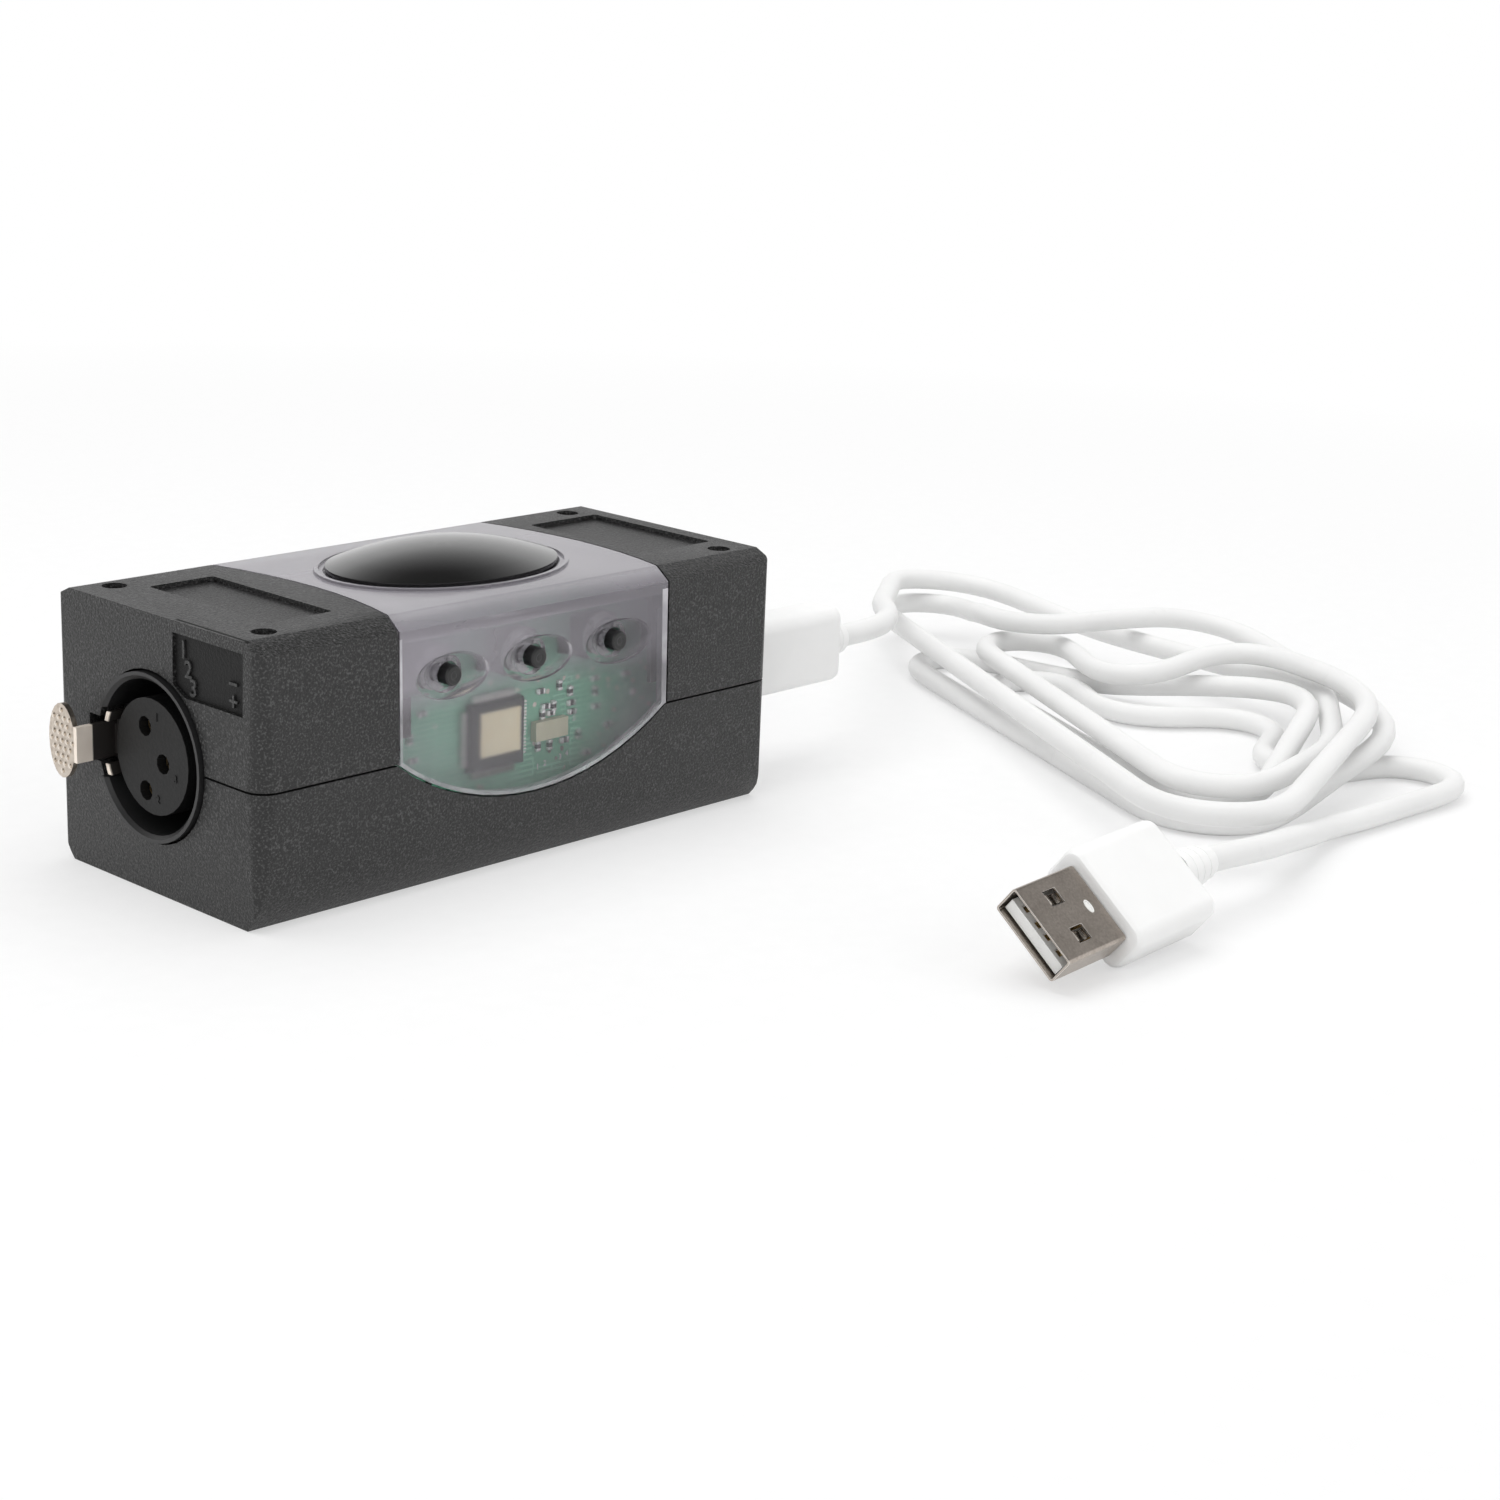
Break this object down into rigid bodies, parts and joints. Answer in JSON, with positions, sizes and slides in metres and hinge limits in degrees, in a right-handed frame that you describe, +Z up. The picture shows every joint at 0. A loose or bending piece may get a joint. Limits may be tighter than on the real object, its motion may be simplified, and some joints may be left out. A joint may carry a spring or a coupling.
{
  "type": "usb dmx interface",
  "caption": "Black lighting-control interface box with a clear button window, a latching round socket and a loosely looped white USB lead.",
  "frame": {"origin": "centre of the box's flat base, on the surface it stands on", "axes": "+X along the box towards the USB lead, the buttons face -Y, +Z up"},
  "size_m": [0.2213, 0.1412, 0.0424],
  "materials": {
    "case_black": "finely textured moulded plastic",
    "window_clear": "clear polished moulding",
    "dome_gloss": "poured gloss resin",
    "screw_steel": "plain steel",
    "socket_black": "smooth moulded plastic",
    "contact_brass": "plated brass",
    "latch_nickel": "bright nickel plate on pressed steel",
    "board_green": "solder-masked laminate",
    "chip_black": "moulded epoxy",
    "label_paper": "matt paper",
    "can_metal": "bare metal can",
    "part_yellow": "moulded component",
    "button_black": "moulded plastic",
    "plug_nickel": "nickel-plated pressed steel",
    "plug_white": "satin moulded vinyl",
    "cord_white": "smooth vinyl jacket",
    "tongue_white": "moulded plastic"
  },
  "bodies": {
    "case": {"lower_shell": "case_black", "end_cap_socket": "case_black", "end_cap_lead": "case_black", "saddle_window": "window_clear", "badge_dome": "dome_gloss", "case_screw_1": "screw_steel", "case_screw_2": "screw_steel", "case_screw_3": "screw_steel", "case_screw_4": "screw_steel", "socket_housing": "socket_black", "contact_insert": "socket_black", "socket_contact_1": "contact_brass", "socket_contact_2": "contact_brass", "socket_contact_3": "contact_brass", "latch_pin": "screw_steel", "circuit_board": "board_green", "main_chip": "chip_black", "chip_label": "label_paper", "bridge_chip": "chip_black", "driver_chip": "chip_black", "power_converter": "chip_black", "crystal_can": "can_metal", "capacitor_can": "can_metal", "status_part": "part_yellow", "switch_body_1": "chip_black", "switch_body_2": "chip_black", "switch_body_3": "chip_black", "usb_socket": "can_metal", "lead_plug_shell": "plug_nickel", "lead_plug_body": "plug_white", "lead_relief": "plug_white", "cord_lead": "cord_white", "cord_coil": "cord_white", "cord_tail": "cord_white", "far_relief": "plug_white", "far_plug_body": "plug_white", "far_plug_shell": "plug_nickel", "far_plug_tongue": "tongue_white"},
    "button_left": {"button_1": "button_black"},
    "button_middle": {"button_2": "button_black"},
    "button_right": {"button_3": "button_black"},
    "latch": {"latch_lever": "latch_nickel"}
  },
  "joints": [
    {"name": "button_left_press", "type": "slide", "parent": "case", "child": "button_left", "axis": [0, 1, 0], "range_m": [0, 0.0003], "stiffness_N_per_m": 3000},
    {"name": "button_middle_press", "type": "slide", "parent": "case", "child": "button_middle", "axis": [0, 1, 0], "range_m": [0, 0.0003], "stiffness_N_per_m": 3000},
    {"name": "button_right_press", "type": "slide", "parent": "case", "child": "button_right", "axis": [0, 1, 0], "range_m": [0, 0.0003], "stiffness_N_per_m": 3000},
    {"name": "latch_swing", "type": "hinge", "parent": "case", "child": "latch", "pos_m": [-0.0335, 0.0124, 0.019], "axis": [0, 0, -1], "range_deg": [0, 6], "stiffness_Nm_per_rad": 0.3}
  ]
}
